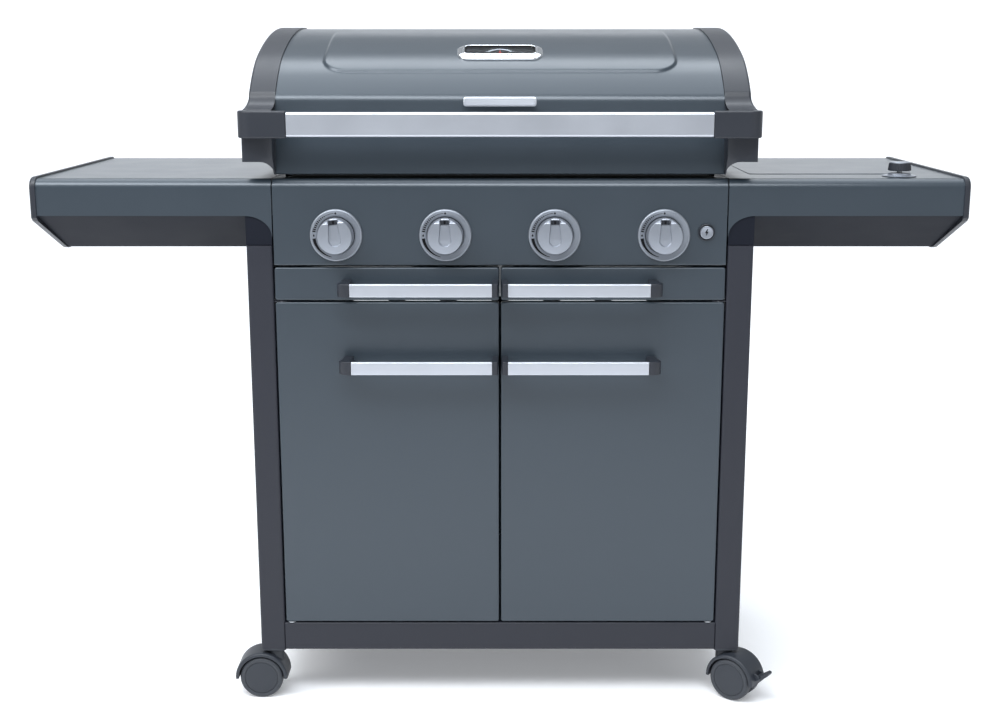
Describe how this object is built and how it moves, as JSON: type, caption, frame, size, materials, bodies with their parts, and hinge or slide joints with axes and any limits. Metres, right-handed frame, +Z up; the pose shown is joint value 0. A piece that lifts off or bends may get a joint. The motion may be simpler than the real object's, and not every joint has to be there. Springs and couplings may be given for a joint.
{
  "type": "gas grill",
  "caption": "Four-burner gas grill on a cabinet cart with a domed hinged lid, drawers, doors, side shelves and a side burner.",
  "frame": {"origin": "on the floor, in the middle of the footprint", "axes": "+X to the grill's right as its user faces it, +Y to its back, +Z up"},
  "size_m": [1.534, 0.6195, 1.1565],
  "materials": {
    "body_paint": "satin powder coat, blue-grey",
    "trim_paint": "satin powder coat, dark grey",
    "cap_plastic": "fine textured moulded plastic",
    "aluminium": "brushed",
    "silver": "satin silver coated",
    "steel": "stainless sheet",
    "cast_iron": "matt cast iron",
    "enamel": "black vitreous enamel",
    "chrome": "polished",
    "dial": "black dial face",
    "needle": "red paint",
    "nylon": "moulded nylon"
  },
  "bodies": {
    "cart": {"cart_legs": "trim_paint", "base_rails": "trim_paint", "base_shelf": "trim_paint", "side_panels": "trim_paint", "back_panel": "trim_paint", "top_frame": "trim_paint", "drawer_runners": "steel", "control_panel": "body_paint", "control_bezels": "silver", "gas_manifold": "steel", "firebox": "enamel", "burner_tubes": "steel", "heat_tents": "steel", "cooking_grates": "cast_iron", "warming_rack": "chrome", "lid_hinge_brackets": "trim_paint", "left_shelf": "body_paint", "right_shelf": "body_paint", "shelf_end_caps": "cap_plastic", "shelf_undersides": "trim_paint", "side_burner_pan": "enamel", "side_burner_head": "cast_iron", "fasteners": "chrome"},
    "lid": {"lid_shell": "body_paint", "lid_side_caps": "cap_plastic", "lid_handle_bar": "aluminium", "thermometer_bezel": "chrome", "thermometer_dial": "dial"},
    "thermometer_needle": {"thermometer_needle": "needle"},
    "stem_1": {"valve_stem_1": "steel"},
    "knob_1": {"knob_1": "silver"},
    "stem_2": {"valve_stem_2": "steel"},
    "knob_2": {"knob_2": "silver"},
    "stem_3": {"valve_stem_3": "steel"},
    "knob_3": {"knob_3": "silver"},
    "stem_4": {"valve_stem_4": "steel"},
    "knob_4": {"knob_4": "silver"},
    "side_stem": {"side_burner_stem": "steel"},
    "side_knob": {"side_burner_knob": "cap_plastic"},
    "ignition_button": {"ignition_button": "silver"},
    "side_burner_cover": {"side_burner_cover": "body_paint"},
    "left_drawer": {"left_drawer": "body_paint", "left_drawer_handle": "aluminium"},
    "left_door": {"left_door": "body_paint", "left_door_handle": "aluminium"},
    "right_drawer": {"right_drawer": "body_paint", "right_drawer_handle": "aluminium"},
    "right_door": {"right_door": "body_paint", "right_door_handle": "aluminium"},
    "grease_tray": {"grease_tray": "steel"},
    "front_left_caster": {"front_left_caster": "nylon"},
    "front_left_wheels": {"front_left_wheels": "nylon"},
    "front_right_caster": {"front_right_caster": "nylon"},
    "front_right_wheels": {"front_right_wheels": "nylon"},
    "front_right_brake": {"front_right_brake": "nylon"},
    "rear_left_caster": {"rear_left_caster": "nylon"},
    "rear_left_wheels": {"rear_left_wheels": "nylon"},
    "rear_right_caster": {"rear_right_caster": "nylon"},
    "rear_right_wheels": {"rear_right_wheels": "nylon"},
    "rear_right_brake": {"rear_right_brake": "nylon"}
  },
  "joints": [
    {"name": "lid_hinge", "type": "hinge", "parent": "cart", "child": "lid", "pos_m": [0, 0.262, 0.93], "axis": [-1, 0, 0], "range_deg": [0, 90]},
    {"name": "thermometer_turn", "type": "hinge", "parent": "lid", "child": "thermometer_needle", "pos_m": [0, -0.14334, 1.10474], "axis": [0, 0.342, -0.9397], "range_deg": [-70, 70], "stiffness_Nm_per_rad": 0.001},
    {"name": "knob_1_push", "type": "slide", "parent": "cart", "child": "stem_1", "axis": [0, 1, 0], "range_m": [0, 0.004], "stiffness_N_per_m": 800, "springref_m": -0.002},
    {"name": "knob_1_turn", "type": "hinge", "parent": "stem_1", "child": "knob_1", "pos_m": [-0.2685, -0.275, 0.8175], "axis": [0, -1, 0], "range_deg": [0, 180]},
    {"name": "knob_2_push", "type": "slide", "parent": "cart", "child": "stem_2", "axis": [0, 1, 0], "range_m": [0, 0.004], "stiffness_N_per_m": 800, "springref_m": -0.002},
    {"name": "knob_2_turn", "type": "hinge", "parent": "stem_2", "child": "knob_2", "pos_m": [-0.0895, -0.275, 0.8175], "axis": [0, -1, 0], "range_deg": [0, 180]},
    {"name": "knob_3_push", "type": "slide", "parent": "cart", "child": "stem_3", "axis": [0, 1, 0], "range_m": [0, 0.004], "stiffness_N_per_m": 800, "springref_m": -0.002},
    {"name": "knob_3_turn", "type": "hinge", "parent": "stem_3", "child": "knob_3", "pos_m": [0.0895, -0.275, 0.8175], "axis": [0, -1, 0], "range_deg": [0, 180]},
    {"name": "knob_4_push", "type": "slide", "parent": "cart", "child": "stem_4", "axis": [0, 1, 0], "range_m": [0, 0.004], "stiffness_N_per_m": 800, "springref_m": -0.002},
    {"name": "knob_4_turn", "type": "hinge", "parent": "stem_4", "child": "knob_4", "pos_m": [0.2685, -0.275, 0.8175], "axis": [0, -1, 0], "range_deg": [0, 180]},
    {"name": "side_knob_push", "type": "slide", "parent": "cart", "child": "side_stem", "axis": [0, 0, -1], "range_m": [0, 0.003], "stiffness_N_per_m": 800, "springref_m": -0.003},
    {"name": "side_knob_turn", "type": "hinge", "parent": "side_stem", "child": "side_knob", "pos_m": [0.664, -0.205, 0.925], "axis": [0, 0, 1], "range_deg": [0, 180]},
    {"name": "ignition_push", "type": "slide", "parent": "cart", "child": "ignition_button", "axis": [0, 1, 0], "range_m": [0, 0.005], "stiffness_N_per_m": 800, "springref_m": -0.002},
    {"name": "cover_hinge", "type": "hinge", "parent": "cart", "child": "side_burner_cover", "pos_m": [0.558, 0.164, 0.903], "axis": [-1, 0, 0], "range_deg": [0, 100]},
    {"name": "left_drawer_slide", "type": "slide", "parent": "cart", "child": "left_drawer", "axis": [0, -1, 0], "range_m": [0, 0.3]},
    {"name": "left_door_hinge", "type": "hinge", "parent": "cart", "child": "left_door", "pos_m": [-0.362, -0.255, 0.424], "axis": [0, 0, -1], "range_deg": [0, 110]},
    {"name": "right_drawer_slide", "type": "slide", "parent": "cart", "child": "right_drawer", "axis": [0, -1, 0], "range_m": [0, 0.3]},
    {"name": "right_door_hinge", "type": "hinge", "parent": "cart", "child": "right_door", "pos_m": [0.362, -0.255, 0.424], "axis": [0, 0, 1], "range_deg": [0, 110]},
    {"name": "grease_tray_slide", "type": "slide", "parent": "cart", "child": "grease_tray", "axis": [0, 1, 0], "range_m": [0, 0.3]},
    {"name": "front_left_swivel", "type": "hinge", "parent": "cart", "child": "front_left_caster", "pos_m": [-0.3955, -0.2385, 0.1], "axis": [0, 0, 1], "continuous": true},
    {"name": "front_left_roll", "type": "hinge", "parent": "front_left_caster", "child": "front_left_wheels", "pos_m": [-0.4185, -0.2385, 0.0375], "axis": [0, -1, 0], "continuous": true},
    {"name": "front_right_swivel", "type": "hinge", "parent": "cart", "child": "front_right_caster", "pos_m": [0.3955, -0.2385, 0.1], "axis": [0, 0, 1], "continuous": true},
    {"name": "front_right_roll", "type": "hinge", "parent": "front_right_caster", "child": "front_right_wheels", "pos_m": [0.41362, -0.25266, 0.0375], "axis": [0.6157, 0.788, 0], "continuous": true},
    {"name": "front_right_brake_press", "type": "hinge", "parent": "front_right_caster", "child": "front_right_brake", "pos_m": [0.45224, -0.28283, 0.05], "axis": [0.6157, 0.788, 0], "range_deg": [0, 25]},
    {"name": "rear_left_swivel", "type": "hinge", "parent": "cart", "child": "rear_left_caster", "pos_m": [-0.3955, 0.2185, 0.1], "axis": [0, 0, 1], "continuous": true},
    {"name": "rear_left_roll", "type": "hinge", "parent": "rear_left_caster", "child": "rear_left_wheels", "pos_m": [-0.41542, 0.23, 0.0375], "axis": [-0.5, -0.866, 0], "continuous": true},
    {"name": "rear_right_swivel", "type": "hinge", "parent": "cart", "child": "rear_right_caster", "pos_m": [0.3955, 0.2185, 0.1], "axis": [0, 0, 1], "continuous": true},
    {"name": "rear_right_roll", "type": "hinge", "parent": "rear_right_caster", "child": "rear_right_wheels", "pos_m": [0.41711, 0.22637, 0.0375], "axis": [-0.342, 0.9397, 0], "continuous": true},
    {"name": "rear_right_brake_press", "type": "hinge", "parent": "rear_right_caster", "child": "rear_right_brake", "pos_m": [0.46316, 0.24313, 0.05], "axis": [-0.342, 0.9397, 0], "range_deg": [0, 25]}
  ]
}
